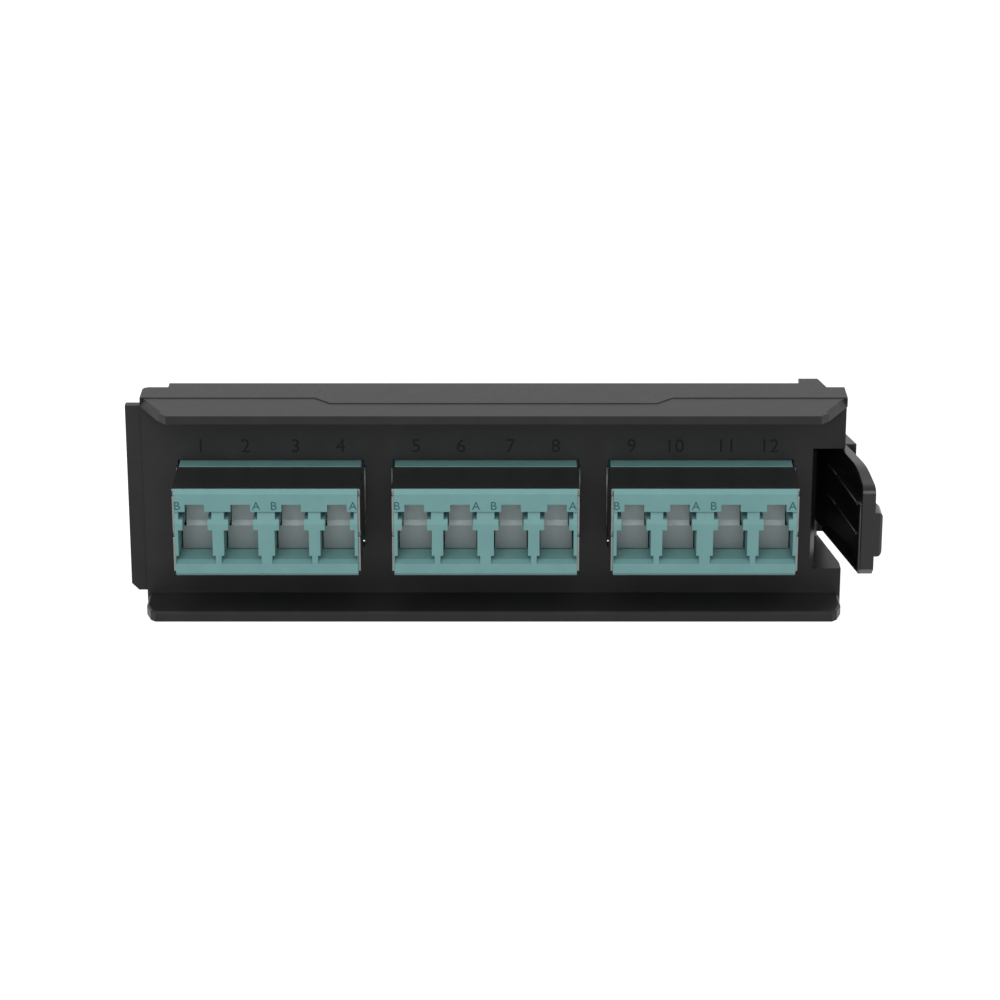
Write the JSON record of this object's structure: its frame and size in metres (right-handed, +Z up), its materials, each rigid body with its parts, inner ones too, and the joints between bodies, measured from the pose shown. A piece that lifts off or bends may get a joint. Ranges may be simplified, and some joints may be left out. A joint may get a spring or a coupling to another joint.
{
  "type": "fibre adapter plate",
  "caption": "Hooded black plate that carries multi-port fibre adapters with hinged dust shutters; it hooks in by an ear and locks with a squeeze lever.",
  "frame": {"origin": "middle of the plate's width, at the plane of its front face, on its underside", "axes": "+X to the latch end as seen from the front, +Y behind the plate, +Z up"},
  "size_m": [0.1044, 0.032, 0.0303],
  "materials": {
    "black_plastic": "fine moulded texture with a soft shine",
    "aqua_plastic": "satin",
    "spring_steel": "bright rolled",
    "shutter_metal": "satin",
    "white_ceramic": "polished zirconia",
    "pin_steel": "ground"
  },
  "bodies": {
    "plate": {"faceplate": "black_plastic", "latch_pin": "pin_steel", "adapter_1_front_housing": "aqua_plastic", "adapter_1_rear_housing": "aqua_plastic", "adapter_1_sleeve_holder": "aqua_plastic", "adapter_1_clip": "spring_steel", "adapter_2_front_housing": "aqua_plastic", "adapter_2_rear_housing": "aqua_plastic", "adapter_2_sleeve_holder": "aqua_plastic", "adapter_2_clip": "spring_steel", "adapter_3_front_housing": "aqua_plastic", "adapter_3_rear_housing": "aqua_plastic", "adapter_3_sleeve_holder": "aqua_plastic", "adapter_3_clip": "spring_steel", "port_01_sleeve": "white_ceramic", "port_02_sleeve": "white_ceramic", "port_03_sleeve": "white_ceramic", "port_04_sleeve": "white_ceramic", "port_05_sleeve": "white_ceramic", "port_06_sleeve": "white_ceramic", "port_07_sleeve": "white_ceramic", "port_08_sleeve": "white_ceramic", "port_09_sleeve": "white_ceramic", "port_10_sleeve": "white_ceramic", "port_11_sleeve": "white_ceramic", "port_12_sleeve": "white_ceramic"},
    "lever": {"latch_lever": "black_plastic"},
    "shutter_01": {"port_01_shutter": "shutter_metal"},
    "shutter_02": {"port_02_shutter": "shutter_metal"},
    "shutter_03": {"port_03_shutter": "shutter_metal"},
    "shutter_04": {"port_04_shutter": "shutter_metal"},
    "shutter_05": {"port_05_shutter": "shutter_metal"},
    "shutter_06": {"port_06_shutter": "shutter_metal"},
    "shutter_07": {"port_07_shutter": "shutter_metal"},
    "shutter_08": {"port_08_shutter": "shutter_metal"},
    "shutter_09": {"port_09_shutter": "shutter_metal"},
    "shutter_10": {"port_10_shutter": "shutter_metal"},
    "shutter_11": {"port_11_shutter": "shutter_metal"},
    "shutter_12": {"port_12_shutter": "shutter_metal"}
  },
  "joints": [
    {"name": "latch_hinge", "type": "hinge", "parent": "plate", "child": "lever", "pos_m": [0.0455, 0.013, 0.0139], "axis": [0, 0, -1], "range_deg": [0, 9], "stiffness_Nm_per_rad": 0.05},
    {"name": "shutter_01_hinge", "type": "hinge", "parent": "plate", "child": "shutter_01", "pos_m": [-0.04081, -0.00675, 0.0182], "axis": [1, 0, 0], "range_deg": [0, 80], "stiffness_Nm_per_rad": 0.0002},
    {"name": "shutter_02_hinge", "type": "hinge", "parent": "plate", "child": "shutter_02", "pos_m": [-0.03456, -0.00675, 0.0182], "axis": [1, 0, 0], "range_deg": [0, 80], "stiffness_Nm_per_rad": 0.0002},
    {"name": "shutter_03_hinge", "type": "hinge", "parent": "plate", "child": "shutter_03", "pos_m": [-0.02761, -0.00675, 0.0182], "axis": [1, 0, 0], "range_deg": [0, 80], "stiffness_Nm_per_rad": 0.0002},
    {"name": "shutter_04_hinge", "type": "hinge", "parent": "plate", "child": "shutter_04", "pos_m": [-0.02136, -0.00675, 0.0182], "axis": [1, 0, 0], "range_deg": [0, 80], "stiffness_Nm_per_rad": 0.0002},
    {"name": "shutter_05_hinge", "type": "hinge", "parent": "plate", "child": "shutter_05", "pos_m": [-0.01081, -0.00675, 0.0182], "axis": [1, 0, 0], "range_deg": [0, 80], "stiffness_Nm_per_rad": 0.0002},
    {"name": "shutter_06_hinge", "type": "hinge", "parent": "plate", "child": "shutter_06", "pos_m": [-0.00456, -0.00675, 0.0182], "axis": [1, 0, 0], "range_deg": [0, 80], "stiffness_Nm_per_rad": 0.0002},
    {"name": "shutter_07_hinge", "type": "hinge", "parent": "plate", "child": "shutter_07", "pos_m": [0.00239, -0.00675, 0.0182], "axis": [1, 0, 0], "range_deg": [0, 80], "stiffness_Nm_per_rad": 0.0002},
    {"name": "shutter_08_hinge", "type": "hinge", "parent": "plate", "child": "shutter_08", "pos_m": [0.00864, -0.00675, 0.0182], "axis": [1, 0, 0], "range_deg": [0, 80], "stiffness_Nm_per_rad": 0.0002},
    {"name": "shutter_09_hinge", "type": "hinge", "parent": "plate", "child": "shutter_09", "pos_m": [0.01919, -0.00675, 0.0182], "axis": [1, 0, 0], "range_deg": [0, 80], "stiffness_Nm_per_rad": 0.0002},
    {"name": "shutter_10_hinge", "type": "hinge", "parent": "plate", "child": "shutter_10", "pos_m": [0.02544, -0.00675, 0.0182], "axis": [1, 0, 0], "range_deg": [0, 80], "stiffness_Nm_per_rad": 0.0002},
    {"name": "shutter_11_hinge", "type": "hinge", "parent": "plate", "child": "shutter_11", "pos_m": [0.03239, -0.00675, 0.0182], "axis": [1, 0, 0], "range_deg": [0, 80], "stiffness_Nm_per_rad": 0.0002},
    {"name": "shutter_12_hinge", "type": "hinge", "parent": "plate", "child": "shutter_12", "pos_m": [0.03864, -0.00675, 0.0182], "axis": [1, 0, 0], "range_deg": [0, 80], "stiffness_Nm_per_rad": 0.0002}
  ]
}
